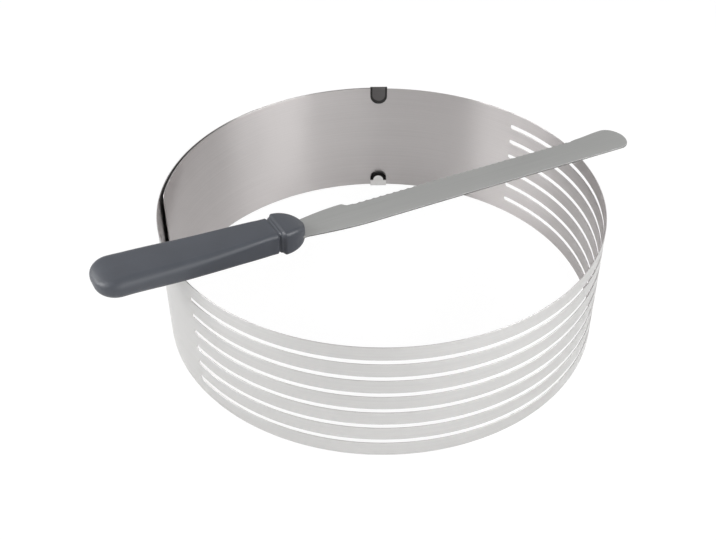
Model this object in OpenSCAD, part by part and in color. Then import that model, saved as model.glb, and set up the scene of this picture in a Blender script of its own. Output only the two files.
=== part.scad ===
// Adjustable cake leveler: a slotted stainless steel ring with its long knife.
// The ring is one strip of thin spring steel that laps over itself, so that its
// diameter can be set. Six slots guide the knife and level or split a cake.
// Origin: centre of the ring on the plane of its bottom edge. +Z up.

/* [Ring] */
// Diameter that the ring is set to, across the middle of the sheet
ring_d = 284; // [260:1:296]
// Height of the strip
band_h = 85; // [80:1:95]
// Thickness of the steel sheet
sheet_t = 0.5; // [0.4:0.05:0.6]
// Length of the whole strip, from the inner free end to the hooked end
strip_len = 1120; // [1110:2:1130]
// Direction that the middle of the slotted part faces, from +X anticlockwise
slot_facing = -46.1; // [-60:0.1:-30]

/* [Laps] */
// Step from the inner layer to the outer layer, middle to middle
lap_step = 1.3; // [1.2:0.05:1.5]
// How much tighter the last sections curl at the inner free end
end_curl = 2.5; // [0:0.5:3]
// Gap between neighbouring sections where the strip can bend
bend_gap = 0.02; // [0.015:0.005:0.05]

/* [Slots] */
// Number of slots, one above the other
slot_count = 6; // [4:1:6]
// Height of one slot
slot_h = 3; // [2:0.1:3.5]
// Distance from one slot to the next, middle to middle
slot_pitch = 12.5; // [12:0.1:13]
// Height of the lowest slot's middle
slot_first = 11.5; // [10:0.5:12]
// How far the rounded slot ends reach into the plain parts of the strip
slot_lead = 2; // [1.8:0.1:4]

/* [Hooks] */
// Width of the two hooks along the strip
hook_w = 12.6; // [8:0.2:16]
// Length of each hook's leg, from the edge of the strip
hook_leg = 11.5; // [8:0.5:16]
// Clear height between the strip's edge and the fold
hook_rise = 0.5; // [0.4:0.1:1]
// Room inside the hook for the inner layer, from the outer layer's inner face
hook_room = 2; // [1.9:0.1:2.4]
// How far the hook's free end is bent away from the strip
hook_flare = 1.3; // [0:0.1:1.5]

/* [Knife] */
// Overall length, butt to tip
knife_len = 374; // [360:1:385]
// Direction of the knife on the ring, from +X anticlockwise
knife_yaw = 29.1; // [20:0.1:35]
// Distance from the ring's axis to the knife's middle line
knife_offset = 15.3; // [8:0.1:20]
// Distance from the ring's axis to the butt, along the knife
knife_back = 191; // [184:0.1:196]
// Air left between the knife and the rim
knife_air = 0.25; // [0.22:0.01:0.4]

/* [Handle] */
// Length of the handle with its guard
handle_len = 129; // [120:1:135]
// Width of the grip near the butt
grip_w = 33.3; // [30:0.1:35]
// Width of the grip behind the guard
waist_w = 21.7; // [20:0.1:25]
// Height of the grip above the blade's middle plane, near the butt
grip_up = 6.5; // [6:0.1:8]
// How much higher the grip is behind the guard
waist_rise = 1.9; // [0:0.1:3]
// Depth of the handle below that plane, where it rests on the rim
grip_down = 7.2; // [6:0.1:8]
// How far the butt is swept towards the cutting edge
butt_sweep = 6.3; // [0:0.1:8]
// How far the guard sits towards the cutting edge from the blade's middle line
guard_shift = 1.3; // [0:0.1:2]
// Length of the guard
guard_len = 17; // [12:0.5:20]
// How far the guard stands out all round
guard_out = 1.8; // [1:0.1:2.5]
// Radius of the grip's long edges near the butt
grip_round = 6.2; // [4:0.1:7]
// Radius of the grip's long edges behind the guard
waist_round = 3; // [2:0.5:5]
// Radius of the butt's corners
butt_round = 13.5; // [8:0.5:14]

/* [Blade] */
// Thickness of the blade
blade_t = 1.1; // [0.9:0.1:1.4]
// Width of the blade along the cutting part
blade_w = 22.6; // [20:0.2:26]
// Width of the blade where it leaves the guard
heel_w = 17.5; // [15:0.5:20]
// How far the heel stands out beyond the cutting edge
heel_step = 2.4; // [1.5:0.1:3]
// Distance from the guard to the start of the cutting edge
heel_len = 35; // [30:1:45]
// Length of the rounded tip
tip_len = 10; // [8:0.5:14]
// How far the tip stands out beyond the cutting edge
tip_step = 2; // [1:0.1:3]
// Length over which the cutting edge runs out before the tip
run_out = 24; // [18:1:30]
// Distance between the waves of the cutting edge
wave_pitch = 5; // [4:0.5:8]
// Depth of the waves
wave_depth = 0.9; // [0.5:0.1:1.2]
// Width of the ground bevel along the cutting edge
bevel_w = 3; // [2:0.25:4]
// Length of the tang inside the handle
tang_len = 84; // [60:1:90]
// Width of the tang
tang_w = 12; // [8:1:14]

/* [Hidden] */
$fn = 64;
STEEL = [0.72, 0.72, 0.71];
GREY = [0.37, 0.38, 0.4];
plain_each = 7;
slotted = 10;
sections = slotted + 2 * plain_each;
middle = sections / 2;
section_len = strip_len / sections;
curled = 3;
ring_r = ring_d / 2;
fold_r = 0.45;
flare_len = 3;
step_each = lap_step * section_len / (2 * PI * ring_r);

// Radius of section i at the middle of the sheet. It grows along the strip, so that
// each turn lies lap_step outside the one before.
function radius(i) = ring_r + step_each * (i - middle + 0.5) - (i < curled ? end_curl : 0);
function turn(i) = section_len / radius(i) * 180 / PI;
// Azimuth of edge j. The strip runs clockwise, seen from above.
function edge(j) = j == middle ? slot_facing
    : j > middle ? edge(j - 1) - turn(j - 1)
    : edge(j + 1) + turn(j);
function gap_angle(i) = bend_gap / radius(i) * 180 / PI;
function toward(a) = [cos(a), sin(a)];
// Centre of section i's arc. Neighbours share a tangent where they meet.
function centre(i) = i == middle || i == middle - 1 ? [0, 0]
    : i > middle ? centre(i - 1) + (radius(i - 1) - radius(i)) * toward(edge(i))
    : centre(i + 1) + (radius(i + 1) - radius(i)) * toward(edge(i + 1));

inner_names = [for (k = [1:plain_each]) str("inner_band_", k)];
slotted_names = [for (k = [1:slotted]) str("slotted_band_", k)];
outer_names = [for (k = [1:plain_each - 1]) str("outer_band_", k)];
BANDS = concat(inner_names, slotted_names, outer_names, ["hooked_end"]);

// One arc of section i between two heights
module sheet(i, z, h) {
    translate(centre(i))
        rotate(edge(i + 1) + gap_angle(i) / 2)
            rotate_extrude(angle = turn(i) - gap_angle(i))
                translate([radius(i) - sheet_t / 2, z]) square([sheet_t, h]);
}

module plain_band(i) {
    color(STEEL) sheet(i, 0, band_h);
}

// The slots run right through, so that a slotted section is a ladder of rungs
module slotted_band(i) {
    low = [for (k = [0:slot_count]) k == 0 ? 0 : slot_first + (k - 1) * slot_pitch + slot_h / 2];
    high = [for (k = [0:slot_count]) k == slot_count ? band_h : slot_first + k * slot_pitch - slot_h / 2];
    color(STEEL)
        for (k = [0:slot_count])
            sheet(i, low[k], high[k] - low[k]);
}

// A plain section in which the slots end, at its edge j, with round ends
module slot_end_band(i, j, side) {
    lead = slot_lead - slot_h / 2;
    reach = lead / radius(i) * 180 / PI;
    color(STEEL)
        difference() {
            sheet(i, 0, band_h);
            for (k = [0:slot_count - 1])
                translate([centre(i)[0], centre(i)[1], slot_first + k * slot_pitch])
                    rotate(edge(j) + side * reach)
                        rotate([0, 90, 0]) {
                            cylinder(d = slot_h, h = 2 * ring_r);
                            translate([-slot_h / 2, side < 0 ? 0 : -slot_h, 0])
                                cube([slot_h, slot_h, 2 * ring_r]);
                        }
        }
}

// Side view of a hook as one outline, over the strip's top edge at radius r or, with
// side = -1, under its bottom edge
module hook_profile(r, side) {
    inner = r - sheet_t / 2 - hook_room;
    top = band_h + hook_rise;
    near = [r - sheet_t / 2 - fold_r, top - fold_r];
    far = [inner + fold_r, top - fold_r];
    straight = hook_leg - flare_len;
    outline = concat(
        [[r + sheet_t / 2, band_h]],
        fold_arc(near, fold_r + sheet_t, 0, 90),
        fold_arc(far, fold_r + sheet_t, 90, 180),
        [[inner - sheet_t, band_h - straight], [inner - sheet_t - hook_flare, band_h - hook_leg],
         [inner - hook_flare, band_h - hook_leg], [inner, band_h - straight]],
        fold_arc(far, fold_r, 180, 90),
        fold_arc(near, fold_r, 90, 0),
        [[r - sheet_t / 2, band_h]]
    );
    polygon([for (p = outline) [p[0], side > 0 ? p[1] : band_h - p[1]]]);
}

function fold_arc(c, r, from, to) = [for (k = [0:4]) c + r * toward(from + (to - from) * k / 4)];

module hook(i, side) {
    translate(centre(i))
        rotate(edge(i + 1) + gap_angle(i) / 2)
            rotate_extrude(angle = hook_w / radius(i) * 180 / PI)
                hook_profile(radius(i), side);
}

module hooked_end() {
    last = sections - 1;
    color(STEEL) {
        sheet(last, 0, band_h);
        hook(last, 1);
        hook(last, -1);
    }
}

module band(i) {
    if (i == sections - 1) hooked_end();
    else if (i == plain_each - 1) slot_end_band(i, i + 1, 1);
    else if (i == plain_each + slotted) slot_end_band(i, i, -1);
    else if (i < plain_each || i > plain_each + slotted) plain_band(i);
    else slotted_band(i);
}

// Where the knife crosses the rim, counted from its butt
cross_half = sqrt(ring_r * ring_r - knife_offset * knife_offset);
cross_near = knife_back - cross_half;
cross_far = knife_back + cross_half;
knife_tilt = atan((grip_down - blade_t / 2) / (cross_far - cross_near));

// Carries the knife's own frame onto the rim: x from the butt to the tip, y towards
// the cutting edge, z = 0 at the blade's middle plane
module on_rim() {
    lift = band_h + knife_air + blade_t / 2 + cross_far * sin(knife_tilt);
    rotate(knife_yaw)
        translate([-knife_back, -knife_offset, lift])
            rotate([0, knife_tilt, 0]) children();
}

root_depth = 6;
// The tang and the blade's root inside the handle
module tang() {
    translate([handle_len - root_depth - tang_len, guard_shift - tang_w / 2, -blade_t / 2])
        cube([tang_len + root_depth, tang_w, blade_t]);
}

module blade_root() {
    translate([handle_len - root_depth, guard_shift - heel_w / 2, -blade_t / 2])
        cube([root_depth + 1, heel_w, blade_t]);
}

edge_y = blade_w / 2;
cut_start = handle_len + heel_len;
tip_start = knife_len - tip_len;
cut_end = tip_start - run_out;
// Outline of the blade: the plain edge, the round tip, the cutting edge and the heel,
// which widens in a soft curve from the guard. The cutting edge is ground into the
// blank, so the heel and the tip stand out beyond it.
module blade_outline() {
    root = handle_len - root_depth;
    heel_y = edge_y + heel_step;
    near_y = guard_shift - heel_w / 2;
    far_y = guard_shift + heel_w / 2;
    spine = [for (u = [0:0.125:1])
        [handle_len + (heel_len + 8) * u, near_y - (edge_y + near_y) * sin(90 * u)]];
    tip = [for (a = [-90:7.5:90])
        [tip_start + tip_len * cos(a), tip_step / 2 + (edge_y + tip_step / 2) * sin(a)]];
    run = [for (u = [0.75:-0.25:0]) [cut_end + run_out * u, edge_y + tip_step * ease(0, 1, u)]];
    heel = [for (u = [1:-0.125:0])
        [handle_len + (heel_len - 3) * u, far_y + (heel_y - far_y) * sin(90 * u)]];
    polygon(concat(
        [[root, near_y]], spine, tip, run,
        [[cut_start, edge_y]],
        heel, [[root, far_y]]
    ));
}

// Shallow hollows that leave a wavy cutting edge
module waves() {
    wave_r = (wave_pitch * wave_pitch / 4 + wave_depth * wave_depth) / (2 * wave_depth);
    count = floor((cut_end - cut_start - 4) / wave_pitch);
    for (k = [0:count - 1])
        translate([cut_start + 4 + (k + 0.5) * wave_pitch, edge_y + wave_r - wave_depth, -blade_t])
            cylinder(r = wave_r, h = 2 * blade_t);
}

// Wedge of air over the ground edge, mirrored for the under side
module bevel() {
    slope = atan((blade_t / 2 - 0.12) / bevel_w);
    translate([cut_start, edge_y - bevel_w, blade_t / 2])
        rotate([-slope, 0, 0])
            cube([cut_end - cut_start, 2 * bevel_w, blade_t]);
}

module blade() {
    color(STEEL)
        on_rim()
            union() {
                tang();
                difference() {
                    translate([0, 0, -blade_t / 2]) linear_extrude(blade_t) blade_outline();
                    waves();
                    bevel();
                    mirror([0, 0, 1]) bevel();
                }
            }
}

// Shape of the handle at distance s from the butt. It is wide and flat at the butt and
// narrow and high at the guard. Its underside is parallel to the rim from lift_end to
// rest_end, about the place where it rests.
function ease(a, b, s) = let (u = min(1, max(0, (s - a) / (b - a)))) u * u * (3 - 2 * u);
function mix(a, b, u) = a + (b - a) * u;
function round_off(r, d) = d < r ? r - sqrt(max(0, r * r - (r - d) * (r - d))) : 0;
guard_start = handle_len - guard_len;
waist_start = 104;
lift_end = 55;
rest_end = 84;
butt_lift = 2.2;
nose_len = guard_len - 0.6;
nose_skew = 1.2;
function along_nose(s) = min(1, max(0, (s - handle_len + nose_len) / nose_len));
function swell(s) = guard_out * ease(guard_start - 1, guard_start + 1.2, s);
function middle_y(s) = guard_shift + butt_sweep * (1 - ease(8, 120, s)) - nose_skew * pow(along_nose(s), 2);
function half_width(s) = mix(grip_w, waist_w, pow(min(1, s / waist_start), 1.5)) / 2 + swell(s);
function height_up(s) = grip_up + waist_rise * ease(50, waist_start, s) + 0.5 * swell(s);
function depth_down(s) = grip_down + (cross_near - min(s, rest_end)) * tan(knife_tilt)
    + 0.5 * swell(s) - butt_lift * (1 - ease(0, lift_end, s));
function edge_round(s) = mix(grip_round, waist_round, min(1, max(0, (s - 20) / 80)));
// The butt's corners are round and the nose is half an ellipse. Both also come down from
// above and up from below, by flatten of what they lose at the sides.
flatten = 0.4;
function taken_off(s) = round_off(butt_round, s) + half_width(s) * (1 - sqrt(1 - pow(along_nose(s), 2)));

butt_stations = [for (a = [0:15:90]) butt_round * (1 - cos(a))];
grip_stations = [for (s = [20:10:guard_start - 4]) s];
step_stations = [for (u = [0:0.25:1]) guard_start - 1 + 2.2 * u];
nose_stations = [for (a = [9:13:87]) handle_len - nose_len + nose_len * sin(a)];
stations = concat(butt_stations, grip_stations, step_stations, nose_stations);
corner_steps = 7;

// Rounded rectangle across the handle, anticlockwise seen from the tip
function ring_at(s) =
    let (
        off = taken_off(s),
        w = half_width(s) - off,
        u = height_up(s) - flatten * off,
        d = depth_down(s) - flatten * off,
        r = min(edge_round(s), 0.95 * min((u + d) / 2, w))
    )
    [for (q = [0:3], k = [0:corner_steps])
        let (
            a = 90 * q + 90 * k / corner_steps,
            cy = (q == 0 || q == 3) ? w - r : r - w,
            cz = q < 2 ? u - r : r - d
        )
        [s, middle_y(s) + cy + r * cos(a), cz + r * sin(a)]];

module handle_body() {
    per = 4 * (corner_steps + 1);
    count = len(stations);
    points = [for (s = stations) each ring_at(s)];
    sides = [for (m = [0:count - 2], k = [0:per - 1])
        let (a = m * per + k, b = m * per + (k + 1) % per)
        each [[a, a + per, b], [b, a + per, b + per]]];
    back = [for (k = [0:per - 1]) k];
    front = [for (k = [per - 1:-1:0]) (count - 1) * per + k];
    polyhedron(points, concat([back], sides, [front]));
}

// Moulded grip with its guard, closed round the tang
module handle() {
    color(GREY)
        on_rim()
            difference() {
                handle_body();
                tang();
                blade_root();
            }
}

for (i = [0:sections - 1])
    band(i);
blade();
handle();
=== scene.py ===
import math

import bpy
import numpy as np
from mathutils import Matrix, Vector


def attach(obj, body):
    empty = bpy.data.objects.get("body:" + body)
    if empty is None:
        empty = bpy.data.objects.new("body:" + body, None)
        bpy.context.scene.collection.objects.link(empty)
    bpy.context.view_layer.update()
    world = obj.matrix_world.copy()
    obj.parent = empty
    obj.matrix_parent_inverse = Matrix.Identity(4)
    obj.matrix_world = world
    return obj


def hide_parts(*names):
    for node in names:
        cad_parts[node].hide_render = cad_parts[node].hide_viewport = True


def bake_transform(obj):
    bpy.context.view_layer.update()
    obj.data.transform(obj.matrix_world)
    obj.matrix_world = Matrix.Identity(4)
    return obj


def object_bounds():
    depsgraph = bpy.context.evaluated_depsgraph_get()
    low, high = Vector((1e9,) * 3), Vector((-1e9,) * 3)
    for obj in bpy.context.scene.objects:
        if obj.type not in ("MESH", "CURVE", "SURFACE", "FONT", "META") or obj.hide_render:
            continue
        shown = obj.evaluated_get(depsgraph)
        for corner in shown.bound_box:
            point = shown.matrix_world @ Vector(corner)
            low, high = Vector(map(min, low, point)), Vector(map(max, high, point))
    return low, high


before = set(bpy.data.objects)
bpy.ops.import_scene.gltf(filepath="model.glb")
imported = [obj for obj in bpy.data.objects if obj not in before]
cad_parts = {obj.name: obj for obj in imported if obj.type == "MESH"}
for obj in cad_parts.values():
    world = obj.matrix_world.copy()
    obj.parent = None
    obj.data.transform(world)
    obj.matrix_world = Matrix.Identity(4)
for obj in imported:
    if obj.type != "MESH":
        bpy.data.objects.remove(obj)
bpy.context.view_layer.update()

# The ring is one strip of 0.5 mm spring steel, 1120 mm long and 85 mm high, rolled into a
# round that laps over itself. Every turn lies 1.3 mm outside the one before, and the last
# bit of the inner end curls in a little more. Lengths here are millimetres.
RING_R = 142.0
STRIP_LEN = 1120.0
STRIP_H = 85.0
SHEET = 0.5
EDGE_ROUND = 0.16
LAP_STEP = 1.3
CURL_IN = 2.5
CURLED_SECTIONS = 3
FACING = math.radians(-46.1)  # the direction that the middle of the slots faces
PLAIN = 7  # sections without slots at either end
SLOTTED = 10
SECTIONS = SLOTTED + 2 * PLAIN
SECTION = STRIP_LEN / SECTIONS
MIDDLE = SECTIONS // 2
SUPPORT = 0.5  # from a rounded edge to the first points on the tall face beside it
SUPPORT_SHARE = 0.2  # the most of a bar's height that this may take
QUARTER = np.radians([0, 30, 60, 90])

section_r = RING_R + LAP_STEP * SECTION / (2 * math.pi * RING_R) * (np.arange(SECTIONS) - MIDDLE + 0.5)
section_r[:CURLED_SECTIONS] -= CURL_IN
travel = np.concatenate([[0], np.cumsum(SECTION / section_r)])
section_edge = FACING + travel[MIDDLE] - travel
edge_way = np.stack([np.cos(section_edge), np.sin(section_edge)], 1)
step_out = (section_r[:-1] - section_r[1:])[:, None] * edge_way[1:-1]
section_centre = np.concatenate([[[0.0, 0.0]], np.cumsum(step_out, 0)])
section_centre = section_centre - (section_centre[MIDDLE - 1] + section_centre[MIDDLE]) / 2


def on_strip(s, out, z):
    """Point of the strip s along it from its inner end, out from the middle of the sheet and
    z high. Each section is an arc run clockwise: centre + (radius + out) * (cos a, sin a),
    where the angle a is the section's first edge less (s - section start) / radius."""
    i = np.clip((s // SECTION).astype(int), 0, SECTIONS - 1)
    a = section_edge[i] - (s - i * SECTION) / section_r[i]
    r = section_r[i] + out
    x = section_centre[i, 0] + r * np.cos(a)
    y = section_centre[i, 1] + r * np.sin(a)
    return np.stack(np.broadcast_arrays(x, y, z), -1)


def rounded(half, low, high, low_round, high_round, arc):
    """Rounded rectangles from -half to half across and from low to high, one for each entry
    of these arrays. Each corner is an arc, its middle + radius * (cos a, sin a), and they run
    anticlockwise from the upper right. Returns how far across and up the points are."""
    half, low, high, low_round, high_round = (
        v[:, None] for v in np.broadcast_arrays(half, low, high, low_round, high_round))
    across, up = [], []
    for k, side in enumerate((1, -1, -1, 1)):
        r = high_round if k < 2 else low_round
        level = high - r if k < 2 else low + r
        a = arc + math.radians(90 * k)
        across.append(side * (half - r) + r * np.cos(a))
        up.append(level + r * np.sin(a))
    return np.concatenate(across, 1), np.concatenate(up, 1)


def skin(rows, marks):
    """Closed skin over a stack of equal loops. Quad (i, j) joins points j and j + 1 of loops
    i and i + 1, and a polygon closes each end. The faces turn over if the volume, a sum of
    (a x b) . c over all triangles, is negative. marks are two numbers a point, for its UV."""
    n, m = rows.shape[:2]
    at = np.arange(n * m).reshape(n, m)
    after = np.roll(at, -1, axis=1)
    quads = np.stack([at[:-1], after[:-1], after[1:], at[1:]], -1).reshape(-1, 4)
    p = rows.reshape(-1, 3)
    a, b, c, d = (p[quads[:, k]] for k in range(4))
    volume = (np.cross(a, b) * c).sum() + (np.cross(a, c) * d).sum()
    for end, turn in ((rows[0], -1), (rows[-1], 1)):
        volume += turn * (np.cross(end[1:-1], end[2:]) * end[0]).sum()
    faces = quads.tolist() + [at[0][::-1].tolist(), at[-1].tolist()]
    if volume < 0:
        faces = [f[::-1] for f in faces]
    return p / 1000, marks.reshape(-1, 2) / 1000, faces


def piece(name, skins, material, sharp=35):
    """One smooth mesh of several skins. Edges that turn by more than sharp degrees stay
    sharp."""
    points, marks, faces, first = [], [], [], 0
    for p, m, f in skins:
        points.append(p)
        marks.append(m)
        faces += [[v + first for v in face] for face in f]
        first += len(p)
    mesh = bpy.data.meshes.new(name)
    mesh.from_pydata(np.concatenate(points).tolist(), [], faces)
    uv = mesh.uv_layers.new(name="along")
    loops = np.empty(len(mesh.loops), np.int32)
    mesh.loops.foreach_get("vertex_index", loops)
    uv.data.foreach_set("uv", np.concatenate(marks)[loops].astype(np.float32).ravel())
    mesh.polygons.foreach_set("use_smooth", np.ones(len(mesh.polygons), bool))
    mesh.set_sharp_from_angle(angle=math.radians(sharp))
    mesh.materials.append(material)
    o = bpy.data.objects.new(name, mesh)
    bpy.context.scene.collection.objects.link(o)
    return o


def refinish(o, material, chosen):
    """Gives another finish to the faces for which chosen(normals, centres) is true. Both
    are arrays with a row of three numbers for each face."""
    polygons = o.data.polygons
    normals, centres = np.empty(3 * len(polygons)), np.empty(3 * len(polygons))
    polygons.foreach_get("normal", normals)
    polygons.foreach_get("center", centres)
    o.data.materials.append(material)
    picked = chosen(normals.reshape(-1, 3), centres.reshape(-1, 3))
    polygons.foreach_set("material_index", picked.astype(np.int32))


def bar(s, low, high, low_round, high_round):
    """Bar of the sheet between the heights low and high: a rounded rectangle in (out, z),
    with two more points near each corner of its tall faces, carried along the strip."""
    keep = np.minimum(SUPPORT, (high - low) * SUPPORT_SHARE)
    lower, upper = (low + low_round + keep)[:, None], (high - high_round - keep)[:, None]
    face = np.full_like(lower, SHEET / 2)
    out, z = rounded(SHEET / 2, low, high, low_round, high_round, QUARTER)
    top = 2 * len(QUARTER)
    out = np.concatenate([out[:, :top], -face, -face, out[:, top:], face, face], 1)
    z = np.concatenate([z[:, :top], upper, lower, z[:, top:], lower, upper], 1)
    s = np.broadcast_to(s[:, None], z.shape)
    return skin(on_strip(s, out, z), np.stack([s, z], -1))


# The six slots guide the knife. They are 3 mm high, 12.5 mm apart, and their round ends
# reach 2 mm into the plain parts, so each span of the strip is plain, slotted, or both.
# The strip's inner end has round corners.
SLOTS = 6
SLOT_H = 3.0
SLOT_PITCH = 12.5
SLOT_FIRST = 11.5  # height of the lowest slot's middle
SLOT_LEAD = 2.0
CORNER_ROUND = 3.0
STEPS = 60  # points along one section
FEWEST_STEPS = 8
TIP_CLEAR = 1.6  # from a slot's tip to where the points are evenly spaced again
SOFT_SHARE = 0.45  # an edge's rounding as a share of the slot's half height near its tip
SOFT_LEAST = 0.01
slot_z = SLOT_FIRST + SLOT_PITCH * np.arange(SLOTS)
slots_from = PLAIN * SECTION - SLOT_LEAD
slots_to = (PLAIN + SLOTTED) * SECTION + SLOT_LEAD


def slot_opening(s):
    """Half the height of a slot at s: its full half height, and the arc of a half circle
    within that distance of either tip."""
    r = SLOT_H / 2
    d = np.clip(np.minimum(s - slots_from, slots_to - s), 0, r)
    return np.sqrt(r * r - (r - d) ** 2)


def spaced(a, b):
    """Even steps along the strip from a to b."""
    return np.linspace(a, b, max(FEWEST_STEPS, int(STEPS * (b - a) / SECTION)))


def span(a, b):
    """All bars of the strip from a to b: one where it is plain, and seven between slots."""
    bars = []
    for p, q in ((a, min(b, slots_from)), (max(a, slots_to), b)):
        if q > p:
            s = spaced(p, q)
            off = np.clip(CORNER_ROUND - s, 0, CORNER_ROUND)
            cut = CORNER_ROUND - np.sqrt(CORNER_ROUND ** 2 - off ** 2)
            bars.append(bar(s, cut, STRIP_H - cut, EDGE_ROUND, EDGE_ROUND))
    p, q = max(a, slots_from), min(b, slots_to)
    if q > p:
        s = spaced(p, q)
        tip = SLOT_H / 2 * (1 - np.cos(np.radians(np.arange(0, 91, 9))))
        if p == slots_from:
            s = np.concatenate([p + tip, s[s > p + TIP_CLEAR]])
        if q == slots_to:
            s = np.concatenate([s[s < q - TIP_CLEAR], (q - tip)[::-1]])
        half = slot_opening(s)
        soft = np.clip(SOFT_SHARE * half, SOFT_LEAST, EDGE_ROUND)
        for k in range(SLOTS + 1):
            low, low_round = (0, EDGE_ROUND) if k == 0 else (slot_z[k - 1] + half, soft)
            high, high_round = (STRIP_H, EDGE_ROUND) if k == SLOTS else (slot_z[k] - half, soft)
            bars.append(bar(s, low, high, low_round, high_round))
    return bars


def feed(tree, node, inputs):
    """Sets a node's inputs, by name or number, to plain values or to outputs of others."""
    for key, value in inputs.items():
        if isinstance(value, bpy.types.NodeSocket):
            tree.links.new(value, node.inputs[key])
        else:
            node.inputs[key].default_value = value


def added(tree, kind, inputs, **settings):
    """The outputs of a new shader node of that kind, with its settings and inputs."""
    node = tree.nodes.new("ShaderNode" + kind)
    for key, value in settings.items():
        setattr(node, key, value)
    feed(tree, node, inputs)
    return node.outputs


def ranged(tree, value, first, last, to_first=0.0, to_last=1.0):
    """The value carried from the range first to last onto the other range, and held there."""
    ends = {"From Min": first, "From Max": last, "To Min": to_first, "To Max": to_last}
    return added(tree, "MapRange", {"Value": value, **ends})[0]


def shades(tree, share, colour, darker, lighter):
    """The colour times darker up to where the share is 0.3, and times lighter from 0.7 on."""
    ramp = tree.nodes.new("ShaderNodeValToRGB")
    for k, (position, factor) in enumerate(((0.3, darker), (0.7, lighter))):
        ramp.color_ramp.elements[k].position = position
        ramp.color_ramp.elements[k].color = (*(factor * np.array(colour)), 1)
    feed(tree, ramp, {0: share})
    return ramp.outputs[0]


def steel(name, colour, rough, drawn, lines, grain):
    """Rolled steel: fine lines drawn out along the piece vary its gloss, its tone and its
    surface a little, and slow clouds vary its gloss. drawn is how far the lines spread the
    gloss across them."""
    m = bpy.data.materials.new(name)
    m.use_nodes = True
    tree = m.node_tree
    uv = added(tree, "UVMap", {}, uv_map="along")[0]
    tangent = added(tree, "Tangent", {}, direction_type="UV_MAP", uv_map="along")[0]
    drawn_out = added(tree, "Mapping", {"Vector": uv, "Scale": lines})[0]
    line = added(tree, "TexNoise", {"Vector": drawn_out, "Scale": 1.0, "Detail": 5.0, "Roughness": 0.7})[0]
    cloud = added(tree, "TexNoise", {"Vector": uv, "Scale": 22.0, "Detail": 3.0})[0]
    both = added(tree, "Math", {0: line, 1: cloud}, operation="ADD")[0]
    bump = added(tree, "Bump", {"Strength": grain, "Distance": 0.0001, "Height": line})[0]
    feed(tree, tree.nodes["Principled BSDF"], {
        "Metallic": 1.0, "Anisotropic": drawn, "Anisotropic Rotation": 0.25, "Tangent": tangent,
        "Base Color": shades(tree, line, colour, 0.94, 1.05),
        "Roughness": ranged(tree, both, 0.6, 1.4, *rough), "Normal": bump})
    return m


def outside(normals, centres):
    """True where the face looks away from the ring's axis."""
    out = centres[:, :2] / np.linalg.norm(centres[:, :2], axis=1)[:, None]
    return (normals[:, :2] * out).sum(1) > 0.5


# The strip is bright and streaked inside, and satin outside. It takes over from the CAD's
# sections in pieces that run from the middle of one section to the middle of the next, so
# that each piece spans one joint and the strip stays smooth.
strip_steel = steel("strip_steel", (0.578, 0.556, 0.552), (0.28, 0.34), 0.93, (7, 1600, 1), 0.025)
outside_steel = steel("outside_steel", (0.578, 0.573, 0.566), (0.42, 0.5), 0.35, (7, 1600, 1), 0.05)

section_names = ([f"inner_band_{k}" for k in range(1, PLAIN + 1)]
                 + [f"slotted_band_{k}" for k in range(1, SLOTTED + 1)]
                 + [f"outer_band_{k}" for k in range(1, PLAIN)] + ["hooked_end"])

free_end = piece("strip_free_end", span(0, SECTION / 2), strip_steel)
refinish(free_end, outside_steel, outside)
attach(free_end, section_names[0])
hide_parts(section_names[0])
for k in range(1, SECTIONS):
    a, b = (k - 0.5) * SECTION, (k + 0.5) * SECTION
    o = piece(f"strip_{k:02d}", span(a, b), strip_steel)
    refinish(o, outside_steel, outside)
    start, end = on_strip(np.array([a, b]), np.zeros(2), np.full(2, STRIP_H / 2)) / 1000
    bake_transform(o)
    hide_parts(section_names[k])

# Two hooks at the strip's outer end hold the layers together. Each is a tongue of the same
# sheet, 12.6 mm wide, folded over the rim and down inside both layers, with a round end.
# The upper one is painted dark, a painted shade, and the lower one is painted bright,
# a painted reflection of the white table, within a black arch of painted shadow.
HOOK_W = 12.6
HOOK_MIDDLE = STRIP_LEN - HOOK_W / 2
HOOK_LEG = 11.5  # from the rim to the tongue's end
HOOK_RISE = 0.5  # air between the rim and the flat of the fold
HOOK_ROOM = 2.0  # from the strip's inner face to the tongue, for the inner layer
FOLD_R = 0.45  # inside radius
FLARE_LEN = 3.0
FLARE = 1.3
TONGUE_ROUND = 5.8
TONGUE_TIP = 0.3  # the least half width, at the tip
# The tongue's dark border is painted shade. These numbers place its arch and set how it fades.
ARCH_MIDDLE = 8.27  # along the tongue to the middle of its dark border's arc
ARCH_SOFT = 0.3  # width over which the border's inner edge fades
LEG_SOFT = 1.0  # length over which its legs fade


def fold_path():
    """Middle line of a hook in (out, height over the rim): up, a quarter turn inward, flat
    across the layers, a quarter turn down, straight down, and bent away at the end by
    (3 t^2 - t^3) / 2 of the flare, where t runs from 0 to 1."""
    mid = FOLD_R + SHEET / 2
    near, far = -SHEET / 2 - FOLD_R, -SHEET / 2 - HOOK_ROOM + FOLD_R
    level = HOOK_RISE - FOLD_R
    a, b = np.radians(np.linspace(0, 90, 9)), np.radians(np.linspace(90, 180, 9))
    down = np.linspace(level, FLARE_LEN - HOOK_LEG, 12)[1:]
    t = np.linspace(0, 1, 7)[1:]
    bend = t * t * (3 - t) / 2
    leg = far - mid
    out = [[0], near + mid * np.cos(a), far + mid * np.cos(b), leg + 0 * down, leg - FLARE * bend]
    up = [[-EDGE_ROUND], level + mid * np.sin(a), level + mid * np.sin(b), down, down[-1] - FLARE_LEN * t]
    return np.concatenate(out), np.concatenate(up)


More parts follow.
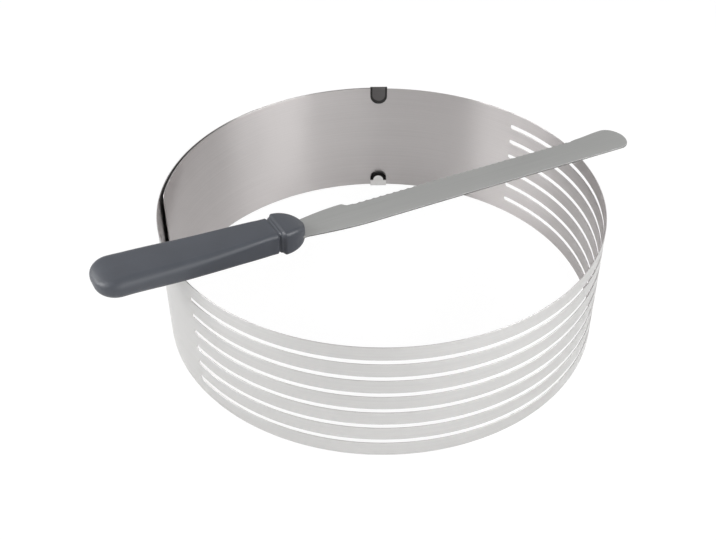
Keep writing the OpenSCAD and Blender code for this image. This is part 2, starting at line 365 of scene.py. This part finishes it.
def hook(side):
    """A hook as a rounded rectangle, the tongue's width by the sheet's thickness, carried
    along the fold path square to it. Its width runs out in a round end."""
    out, up = fold_path()
    run = np.concatenate([[0], np.cumsum(np.hypot(np.diff(out), np.diff(up)))])
    round_start = run[-1] - TONGUE_ROUND
    turn = np.radians(np.linspace(0, 90, 14))
    at = np.concatenate([np.linspace(0, round_start, 60)[:-1], round_start + TONGUE_ROUND * np.sin(turn)])
    out, up = np.interp(at, run, out), np.interp(at, run, up)
    ahead = np.stack([np.gradient(out, at), np.gradient(up, at)], 1)
    ahead /= np.linalg.norm(ahead, axis=1)[:, None]
    past = np.clip(TONGUE_ROUND - (run[-1] - at), 0, TONGUE_ROUND)
    narrow = TONGUE_ROUND - np.sqrt(TONGUE_ROUND ** 2 - past ** 2)
    half_w = np.maximum(HOOK_W / 2 - narrow, TONGUE_TIP)
    wide, thick = rounded(half_w, -SHEET / 2, SHEET / 2, EDGE_ROUND, EDGE_ROUND, QUARTER)
    o = out[:, None] + thick * ahead[:, 1:]
    u = up[:, None] - thick * ahead[:, :1]
    s = HOOK_MIDDLE + wide
    z = STRIP_H + u if side > 0 else -u
    return skin(on_strip(s, o, z), np.stack([s, STRIP_H + at[:, None] + 0 * s], -1))


def joined(tree, operation, first, second):
    """A Math node of the operation on two outputs or plain numbers."""
    return added(tree, "Math", {0: first, 1: second}, operation=operation)[0]


def painted_shade_border(material, width, legs, colour):
    """Paints shade into a border round the tongue's end: all that is further from the middle of its
    arc than the round end's radius less the width. That middle lies 1.3 mm short of the
    round end's own, so the border is widest at the tip. It fades out past its legs."""
    tree = material.node_tree
    surface = tree.nodes["Principled BSDF"]
    tone = surface.inputs["Base Color"].links[0].from_socket
    uv = added(tree, "UVMap", {}, uv_map="along")[0]
    place = added(tree, "SeparateXYZ", {0: uv})
    aside = joined(tree, "SUBTRACT", place[0], HOOK_MIDDLE / 1000)
    beyond = joined(tree, "SUBTRACT", place[1], (STRIP_H + ARCH_MIDDLE) / 1000)
    past = joined(tree, "MAXIMUM", beyond, 0.0)
    squares = (joined(tree, "MULTIPLY", v, v) for v in (aside, past))
    far = joined(tree, "SQRT", joined(tree, "ADD", *squares), 0.0)
    inner = TONGUE_ROUND - width
    border = ranged(tree, far, inner / 1000, (inner + ARCH_SOFT) / 1000)
    reach = ranged(tree, beyond, -legs / 1000, (LEG_SOFT - legs) / 1000)
    share = joined(tree, "MULTIPLY", border, reach)
    # The painted shade is mixed into the tone here.
    dark = added(tree, "Mix", {"Factor": share, "A": tone, "B": (*colour, 1)}, data_type="RGBA")
    feed(tree, surface, {"Base Color": dark["Result"]})


# The upper tongue's near black tone is painted shade, not the steel's own colour.
tongue_painted_shade = steel("tongue_painted_shade", (0.135, 0.13, 0.129), (0.3, 0.38), 0.6, (7, 1600, 1), 0.08)
# The lower tongue's bright tone is a painted reflection of the white table, and its black border is
# painted shadow.
lip_painted_light_and_shade = steel("lip_painted_light_and_shade", (0.84, 0.83, 0.82), (0.3, 0.37), 0.75, (7, 1600, 1), 0.08)
# Painted shade borders: a near black arch of painted shadow on the lower tongue, and a dark grey one on
# the upper.
painted_shade_border(lip_painted_light_and_shade, 2.0, 0.8, (0.012, 0.011, 0.011))
painted_shade_border(tongue_painted_shade, 1.1, 12.0, (0.045, 0.043, 0.043))

hooked_end = piece("strip_hooked_end", span((SECTIONS - 0.5) * SECTION, STRIP_LEN), strip_steel)
refinish(hooked_end, outside_steel, outside)
upper_hook = piece("upper_hook", [hook(1)], tongue_painted_shade)
lower_hook = piece("lower_hook", [hook(-1)], lip_painted_light_and_shade)
for o in (hooked_end, upper_hook, lower_hook):
    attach(o, "hooked_end")
    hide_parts("hooked_end")

# The blade is one flat piece of steel, 1.1 mm thick, with its tang moulded into the handle.
# Its long edge is ground from both sides and wavy, so its heel and tip stand out beyond it.
# x runs from the butt to the tip, y towards the cutting edge, and z = 0 halves the blade.
KNIFE_LEN = 374.0
KNIFE_YAW = math.radians(29.1)
KNIFE_BACK = 191.0  # from the butt to the point of the knife nearest the ring's axis
KNIFE_OFFSET = 15.3  # from the knife's middle line to the ring's axis
KNIFE_AIR = 0.25
HANDLE_LEN = 129.0
GRIP_DOWN = 7.2  # from the blade's middle down to where the handle rests on the rim
GUARD_SHIFT = 1.3  # how far the guard lies towards the cutting edge
BLADE_T = 1.1
BLADE_W = 22.6
BACK_RUN = 43.0  # from the guard to where the plain edge is straight
BACK_ROUND = 0.3
BACK_SHARE = 0.3  # the most of the blade's width that this may take
HEEL_W = 17.5  # width at the guard
HEEL_LEN = 35.0
HEEL_STEP = 2.4
HEEL_END = 3.0  # length of the step down at the heel's end
ROOT_DEPTH = 6.0  # how far the drawn blade runs into the handle
TIP_LEN = 10.0
TIP_STEP = 2.0
RUN_OUT = 24.0  # from where the ground edge ends to the round of the tip
WAVE = 5.0
WAVE_DEPTH = 0.9
WAVE_START = 4.0  # from the heel to the first wave
BEVEL_W = 3.0
BEVEL_SOFT = 1.0  # half the length over which the grind fades in or out
EDGE_T = 0.24
LIP = 0.15  # bevel of the cutting side where it isn't ground
PLAIN_END = 0.2  # from the cutting side to where an unground flat ends
PLAIN_SHARE = 0.7  # the least of the blade's width that such a flat reaches across
FLAT_LINE = 0.4  # share of the flat at which it has a row of points of its own
cross_half = math.sqrt(RING_R ** 2 - KNIFE_OFFSET ** 2)
cross_near, cross_far = KNIFE_BACK - cross_half, KNIFE_BACK + cross_half
knife_tilt = math.atan((GRIP_DOWN - BLADE_T / 2) / (cross_far - cross_near))
cut_start = HANDLE_LEN + HEEL_LEN
tip_start = KNIFE_LEN - TIP_LEN
cut_end = tip_start - RUN_OUT
edge_y = BLADE_W / 2


def on_rim(p):
    """The knife's own points carried onto the rim: tipped down towards the tip about the
    y axis, moved back, aside and up, and turned by the yaw."""
    x = p[..., 0] * math.cos(knife_tilt) + p[..., 2] * math.sin(knife_tilt) - KNIFE_BACK
    y = p[..., 1] - KNIFE_OFFSET
    lift = STRIP_H + KNIFE_AIR + BLADE_T / 2 + cross_far * math.sin(knife_tilt)
    z = p[..., 2] * math.cos(knife_tilt) - p[..., 0] * math.sin(knife_tilt) + lift
    c, s = math.cos(KNIFE_YAW), math.sin(KNIFE_YAW)
    return np.stack([c * x - s * y, s * x + c * y, z], -1)


def ease(a, b, x):
    """0 before a, 1 after b, and 3 u^2 - 2 u^3 between, where u runs from 0 to 1."""
    u = np.clip((x - a) / (b - a), 0, 1)
    return u * u * (3 - 2 * u)


def from_guard(x, first, last, length):
    """From first at the guard to last, on a quarter of a sine of that length."""
    return first + (last - first) * np.sin(np.pi / 2 * np.clip((x - HANDLE_LEN) / length, 0, 1))


def blade_edges(x):
    """The plain edge and the cutting edge at x. Both leave the guard on a sine, and the tip
    is an ellipse. Between heel and run out the cutting edge is a row of arcs, of radius
    (w^2 / 4 + d^2) / 2 d for waves w long and d deep."""
    near = from_guard(x, GUARD_SHIFT - HEEL_W / 2, -edge_y, BACK_RUN)
    heel_y = edge_y + HEEL_STEP
    far = from_guard(x, GUARD_SHIFT + HEEL_W / 2, heel_y, HEEL_LEN - HEEL_END)
    far = far + (edge_y - heel_y) * ease(cut_start - HEEL_END, cut_start, x)
    wave_r = (WAVE ** 2 / 4 + WAVE_DEPTH ** 2) / (2 * WAVE_DEPTH)
    first_wave = cut_start + WAVE_START
    waves = (cut_end - first_wave) // WAVE
    t = x - first_wave
    arc = wave_r - WAVE_DEPTH - np.sqrt(wave_r ** 2 - (t % WAVE - WAVE / 2) ** 2)
    far = far + np.where((t > 0) & (t < waves * WAVE), arc, 0) + TIP_STEP * ease(cut_end, tip_start, x)
    middle = TIP_STEP / 2 * (x > tip_start)
    tip = np.sqrt(np.clip(1 - (np.clip(x - tip_start, 0, TIP_LEN) / TIP_LEN) ** 2, 0, 1))
    return middle + (near - middle) * tip, middle + (far - middle) * tip


def blade_skin():
    """Loops across the blade: a rounded plain edge, two flats and the two ground faces that
    meet in a thin cutting edge. The grind fades out at the heel and at the tip."""
    x = np.concatenate([np.linspace(HANDLE_LEN - ROOT_DEPTH, cut_start, 50)[:-1],
                        np.arange(cut_start, cut_end, WAVE / 16),
                        np.linspace(cut_end, tip_start, 24)[:-1],
                        tip_start + TIP_LEN * np.sin(np.radians(np.linspace(0, 89.6, 26)))])
    near, far = (edge[:, None] for edge in blade_edges(x))
    ground = (ease(cut_start - BEVEL_SOFT, cut_start + BEVEL_SOFT, x)
              * (1 - ease(cut_end - BEVEL_SOFT, cut_end + BEVEL_SOFT, x)))[:, None]
    half, bevel_y = BLADE_T / 2, edge_y - BEVEL_W
    r = np.minimum(BACK_ROUND, (far - near) * BACK_SHARE)
    a = np.radians(np.linspace(180, 90, 5))
    plain_to = np.maximum(far - PLAIN_END, near + (far - near) * PLAIN_SHARE)
    flat_to = plain_to * (1 - ground) + bevel_y * ground
    drop = (half - EDGE_T / 2) * np.clip((far - bevel_y) / BEVEL_W, 0, 1) * ground
    lip = LIP * (1 - ground)
    round_y, round_z = near + r + r * np.cos(a), half - r + r * np.sin(a)
    flat_y = near + r + FLAT_LINE * (flat_to - near - r)
    y = np.concatenate([round_y, flat_y, flat_to, far - lip, far], 1)
    z = np.concatenate([round_z, half + 0 * r, half + 0 * r, half - drop, half - drop - lip], 1)
    y, z = np.concatenate([y, y[:, ::-1]], 1), np.concatenate([z, -z[:, ::-1]], 1)
    x = np.broadcast_to(x[:, None], y.shape)
    return skin(on_rim(np.stack([x, y, z], -1)), np.stack([x, y], -1))


def narrow_faces(normals, centres):
    """True on the narrow faces round the blade, which lean over 41 degrees off its flats."""
    return np.abs(normals[:, 2]) < 0.75


# The blade's flats are evenly satin. A low specular tint keeps them from flaring up when
# they are seen at a low angle. The narrow faces round it are darker: partly the sheared
# edge's own duller tone, and partly painted shade for the shadowed table they reflect.
blade_steel = steel("blade_steel", (0.452, 0.454, 0.446), (0.55, 0.63), 0.1, (9, 1500, 1), 0.04)
surface = blade_steel.node_tree.nodes["Principled BSDF"]
surface.inputs["Specular Tint"].default_value = (0.4, 0.4, 0.4, 1)
edge_steel = steel("edge_steel", (0.2, 0.2, 0.198), (0.5, 0.6), 0.3, (9, 1500, 1), 0.04)
blade = piece("knife_blade", [blade_skin()], blade_steel)
refinish(blade, edge_steel, narrow_faces)
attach(blade, "knife")
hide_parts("blade")

# The handle is moulded round the tang in dark grey plastic with a fine matt grain. It is
# wide, flat and rounded at the butt, narrow and high at the front, and a rounded guard
# stands out there behind a groove.
GRIP_W = 33.3
GRIP_UP = 6.5  # from the blade's middle to the top of the grip
GRIP_ROUND = 6.2
WAIST_W = 21.7
WAIST_RISE = 1.9
WAIST_ROUND = 3.0
WAIST_START = 104.0  # where the grip is narrowest and highest
RISE_START = 50.0
ROUND_FROM = 20.0  # where the rounding of the grip's edges starts to shrink
ROUND_RUN = 80.0  # the length over which it does
ROUND_SHARE = 0.95  # the most of the half width or half height that it may take
BUTT_ROUND = 13.5
BUTT_SWEEP = 6.3  # how far the butt lies towards the cutting edge
SWEEP_START = 8.0
SWEEP_END = 120.0
BUTT_LIFT = 2.2  # how much the underside rises towards the butt
LIFT_END = 55.0
REST_END = 84.0  # where the underside leaves the slope that rests on the rim
FLATTEN = 0.4  # height lost for each millimetre of width rounded off at an end
GUARD_LEN = 17.0
GUARD_OUT = 1.8
GUARD_BEFORE = 1.0  # the guard swells from this far before its start
GUARD_AFTER = 1.2  # to this far after it
GUARD_UP = 0.5  # share of the swell by which it also grows up and down
NOSE_LEN = 16.4
NOSE_SKEW = 1.2  # how far the nose leans away from the cutting edge
GROOVE_W = 2.6
GROOVE_DEPTH = 1.0
GROOVE_GAP = 1.2  # from the groove to the guard's start
FINE_BEFORE = 4.0  # the loops lie closer together from this far before the guard's start
FINE_AFTER = 1.6  # to this far after it
guard_start = HANDLE_LEN - GUARD_LEN


def grip_skin():
    """Rounded rectangles along the handle. Their width shrinks with (x / 104)^1.5, their
    height grows, and their middle sweeps towards the cutting edge. The butt is rounded off
    by an arc and the nose is half an ellipse, and both also lose height there."""
    nose = HANDLE_LEN - NOSE_LEN
    x = np.concatenate([BUTT_ROUND * (1 - np.cos(np.radians(np.linspace(0.5, 90, 26)))),
                        np.linspace(BUTT_ROUND, guard_start - FINE_BEFORE, 70)[1:-1],
                        np.linspace(guard_start - FINE_BEFORE, guard_start + FINE_AFTER, 34),
                        nose + NOSE_LEN * np.sin(np.radians(np.linspace(5, 87, 28)))])
    swell = GUARD_OUT * ease(guard_start - GUARD_BEFORE, guard_start + GUARD_AFTER, x)
    groove = np.clip(1 - np.abs(x - guard_start + GROOVE_GAP + GROOVE_W / 2) / (GROOVE_W / 2), 0, 1)
    swell = swell - GROOVE_DEPTH * groove * groove * (3 - 2 * groove)
    along = np.clip((x - nose) / NOSE_LEN, 0, 1)
    w = (GRIP_W + (WAIST_W - GRIP_W) * np.clip(x / WAIST_START, 0, 1) ** 1.5) / 2 + swell
    back = np.clip(BUTT_ROUND - x, 0, BUTT_ROUND)
    off = BUTT_ROUND - np.sqrt(BUTT_ROUND ** 2 - back ** 2) + w * (1 - np.sqrt(1 - along ** 2))
    up = GRIP_UP + WAIST_RISE * ease(RISE_START, WAIST_START, x) + GUARD_UP * swell - FLATTEN * off
    down = (GRIP_DOWN + (cross_near - np.minimum(x, REST_END)) * math.tan(knife_tilt) + GUARD_UP * swell
            - BUTT_LIFT * (1 - ease(0, LIFT_END, x)) - FLATTEN * off)
    middle = GUARD_SHIFT + BUTT_SWEEP * (1 - ease(SWEEP_START, SWEEP_END, x)) - NOSE_SKEW * along ** 2
    w = w - off
    r = GRIP_ROUND + (WAIST_ROUND - GRIP_ROUND) * np.clip((x - ROUND_FROM) / ROUND_RUN, 0, 1)
    r = np.minimum(r, ROUND_SHARE * np.minimum((up + down) / 2, w))
    y, z = rounded(w, -down, up, r, r, np.radians(np.linspace(0, 90, 15)))
    y = y + middle[:, None]
    x = np.broadcast_to(x[:, None], y.shape)
    return skin(on_rim(np.stack([x, y, z], -1)), np.stack([x, y], -1))


def moulded_plastic(name, colour):
    """Dark plastic: a fine grain in its surface, and slow clouds in its gloss and tone."""
    m = bpy.data.materials.new(name)
    m.use_nodes = True
    tree = m.node_tree
    where = added(tree, "TexCoord", {})["Object"]
    grain = added(tree, "TexNoise", {"Vector": where, "Scale": 2600.0, "Detail": 3.0})[0]
    cloud = added(tree, "TexNoise", {"Vector": where, "Scale": 45.0, "Detail": 4.0})[0]
    bump = added(tree, "Bump", {"Strength": 0.25, "Distance": 0.00015, "Height": grain})[0]
    feed(tree, tree.nodes["Principled BSDF"], {
        "Base Color": shades(tree, cloud, colour, 0.93, 1.07),
        "Roughness": ranged(tree, cloud, 0.3, 0.7, 0.41, 0.48), "Normal": bump})
    return m


grip_plastic = moulded_plastic("grip_plastic", (0.052, 0.057, 0.069))
grip = piece("knife_handle", [grip_skin()], grip_plastic, sharp=60)
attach(grip, "knife")
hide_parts("handle")

# The ring stands on a plain white table that runs on into a white surround, a little darker
# overhead. Wide soft lamps light it from the right and from the left, and two weak ones
# fill in from the front and from above. The stage is in metres.
TABLE_REACH = 3.0


def seen(tree, to_camera, to_gloss):
    """The camera's share for rays from the camera, and the gloss's share for rays that
    gloss or glass sends out. It is 0 for all other light."""
    path = added(tree, "LightPath", {})
    mirrored = joined(tree, "MAXIMUM", path["Is Glossy Ray"], path["Is Transmission Ray"])
    direct = joined(tree, "MULTIPLY", path["Is Camera Ray"], to_camera)
    return joined(tree, "ADD", direct, joined(tree, "MULTIPLY", mirrored, to_gloss))


def two_ways(tree, share, plain, white, output):
    """The white shader by the share, and the plain one for the rest."""
    mix = added(tree, "MixShader", {0: share, 1: plain, 2: white})[0]
    feed(tree, tree.nodes[output], {"Surface": mix})


def white_paper():
    """Matt paper. The camera sees it mostly as an even white, so that shadows on it are
    faint, and gloss sees a tenth of that white."""
    m = bpy.data.materials.new("paper")
    m.use_nodes = True
    tree = m.node_tree
    matt = tree.nodes["Principled BSDF"]
    feed(tree, matt, {"Base Color": (0.85, 0.85, 0.85, 1), "Roughness": 0.9})
    bright = added(tree, "Emission", {"Strength": 1.05})[0]
    two_ways(tree, seen(tree, 0.88, 0.1), matt.outputs[0], bright, "Material Output")
    return m


def white_surround():
    """Dim white light on every surface, and full white for the camera and for gloss. Gloss
    finds it up to 0.4 darker overhead."""
    world = bpy.data.worlds.new("surround")
    world.use_nodes = True
    tree = world.node_tree
    dim = tree.nodes["Background"]
    feed(tree, dim, {"Strength": 0.22, "Color": (1, 1, 1, 1)})
    height = added(tree, "SeparateXYZ", {0: added(tree, "TexCoord", {})["Generated"]})["Z"]
    darker = joined(tree, "MULTIPLY", ranged(tree, height, 0.1, 0.55, 0.0, 0.4), seen(tree, 0.0, 1.0))
    strength = joined(tree, "SUBTRACT", 1.0, darker)
    around = added(tree, "Background", {"Color": (1, 1, 1, 1), "Strength": strength})[0]
    two_ways(tree, seen(tree, 1.0, 1.0), dim.outputs[0], around, "World Output")
    return world


def lamp(name, place, aim, size, power):
    """A soft lamp of that width and height, turned to the point it is aimed at."""
    light = bpy.data.lights.new(name, "AREA")
    light.shape = "RECTANGLE"
    light.size, light.size_y, light.energy = *size, power
    o = bpy.data.objects.new(name, light)
    back = np.array(place) - np.array(aim)
    back = back / np.linalg.norm(back)
    side = np.cross([0, 0, 1], back)
    side = side / np.linalg.norm(side)
    facing = Matrix(np.stack([side, np.cross(back, side), back], 1).tolist())
    o.matrix_world = Matrix.Translation(place) @ facing.to_4x4()
    bpy.context.scene.collection.objects.link(o)


table = bpy.data.objects.new("table", bpy.data.meshes.new("table"))
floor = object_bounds()[0][2]
corners = [(x * TABLE_REACH, y * TABLE_REACH, floor) for x, y in ((-1, -1), (1, -1), (1, 1), (-1, 1))]
table.data.from_pydata(corners, [], [(0, 1, 2, 3)])
table.data.materials.append(white_paper())
bpy.context.scene.collection.objects.link(table)
bpy.context.scene.world = white_surround()
lamp("lamp_right", (0.84, -0.32, 0.63), (0, 0, 0), (0.75, 0.3), 9.8)
lamp("lamp_left", (-0.92, -0.16, 0.58), (0, 0, 0), (0.9, 0.45), 11.3)
lamp("lamp_front", (0.46, -0.83, 0.45), (0, 0, 0.05), (0.8, 0.5), 2.0)
lamp("lamp_top", (0.05, -0.1, 1.6), (0, 0, 0), (1.2, 1.2), 0.5)

# The camera stands where the photograph's stood: 714 mm from the middle of the ring and
# 37.5 degrees above it, turned so that the ring's middle falls on its pixel of the photo.
PHOTO_W, PHOTO_H = 716, 540
FOCAL = 1072.72  # in pixels
SEEN_X, SEEN_Y = 380.44, 249.45
ELEVATION = math.radians(37.450)
DISTANCE = 713.76
ROLL = math.radians(0.4637)
SENSOR_W = 36.0


def turned(a, b, angle):
    """Two directions turned in their plane: a cos t + b sin t, and b cos t - a sin t."""
    c, s = math.cos(angle), math.sin(angle)
    return a * c + b * s, b * c - a * s


sight = np.array([0, math.cos(ELEVATION), -math.sin(ELEVATION)])
right = np.array([1.0, 0, 0])
upward = np.cross(right, sight)
place = (np.array([0, 0, STRIP_H / 2]) - sight * DISTANCE) / 1000
sight, right = turned(sight, right, math.atan2(PHOTO_W / 2 - SEEN_X, FOCAL))
sight, upward = turned(sight, upward, math.atan2(SEEN_Y - PHOTO_H / 2, FOCAL))
right, upward = turned(right, upward, ROLL)
camera_data = bpy.data.cameras.new("camera")
camera_data.sensor_width = SENSOR_W
camera_data.lens = FOCAL * SENSOR_W / PHOTO_W
camera_data.clip_start = 0.01
camera = bpy.data.objects.new("camera", camera_data)
facing = Matrix(np.stack([right, upward, -sight], 1).tolist())
camera.matrix_world = Matrix.Translation(place.tolist()) @ facing.to_4x4()
bpy.context.scene.collection.objects.link(camera)
bpy.context.scene.camera = camera
bpy.context.scene.view_settings.view_transform = "Standard"

bpy.context.view_layer.update()
